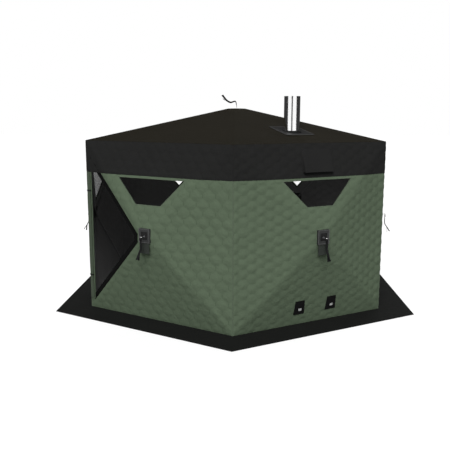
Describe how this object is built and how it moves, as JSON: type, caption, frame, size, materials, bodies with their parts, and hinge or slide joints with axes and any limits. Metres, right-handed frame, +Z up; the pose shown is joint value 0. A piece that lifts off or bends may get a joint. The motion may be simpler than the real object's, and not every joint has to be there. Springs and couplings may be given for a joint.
{
  "type": "ice fishing hut",
  "caption": "Hexagonal pop-up fabric shelter with quilted walls pushed out by hubs and poles, a hexagonal roof, clear windows, an open doorway, a ground skirt and a flue pipe.",
  "frame": {"origin": "centre of the hexagon, on the ground", "axes": "+Z up; +Y from the front corner between the doorway wall and the flue wall towards the back corner; +X to the right seen from the front"},
  "size_m": [3.6858, 4.255, 2.2376],
  "materials": {
    "green_quilt": "quilted insulated fabric, matt",
    "black_band": "black fabric, matt",
    "roof_fabric": "black coated fabric, matt",
    "skirt_fabric": "black coated fabric, matt",
    "seam_tape": "sewn seam tape",
    "fibreglass": "smooth glass fibre rod",
    "hub_plastic": "moulded nylon",
    "fitting_alloy": "tumbled alloy",
    "webbing": "woven webbing",
    "window_vinyl": "clear vinyl",
    "plate_plastic": "moulded plastic, satin",
    "flap_fabric": "coated fabric",
    "bright_steel": "bright steel",
    "flue_plate": "heat-resistant grey",
    "collar_rubber": "high-temperature rubber",
    "stainless": "brushed stainless steel",
    "zip_fabric": "black zip flap",
    "port_fabric": "black fabric"
  },
  "bodies": {
    "root": {"wall_front_left": "green_quilt", "wall_front_right": "green_quilt", "wall_right": "green_quilt", "wall_back_right": "green_quilt", "wall_back_left": "green_quilt", "wall_left": "green_quilt", "band_front_left": "black_band", "band_front_right": "black_band", "band_right": "black_band", "band_back_right": "black_band", "band_back_left": "black_band", "band_left": "black_band", "roof_front_left": "roof_fabric", "roof_front_right": "roof_fabric", "roof_right": "roof_fabric", "roof_back_right": "roof_fabric", "roof_back_left": "roof_fabric", "roof_left": "roof_fabric", "roof_cap": "roof_fabric", "ground_skirt": "skirt_fabric", "facet_seams": "seam_tape", "corner_seams": "seam_tape", "roof_seams": "seam_tape", "wall_poles": "fibreglass", "wall_hubs": "hub_plastic", "roof_poles": "fibreglass", "roof_hub": "hub_plastic", "hub_pins": "bright_steel", "pole_tips": "fitting_alloy", "corner_pockets": "webbing", "window_panes": "window_vinyl", "hub_plates": "plate_plastic", "hub_flaps": "flap_fabric", "hub_bolts": "bright_steel", "pull_straps": "webbing", "roof_strap": "webbing", "flue_plate": "flue_plate", "flue_collar": "collar_rubber", "flue_pipe": "stainless", "vent_hood": "black_band", "door_roll": "green_quilt", "door_ties": "webbing", "door_zip": "zip_fabric", "port_flaps": "port_fabric"}
  },
  "joints": []
}
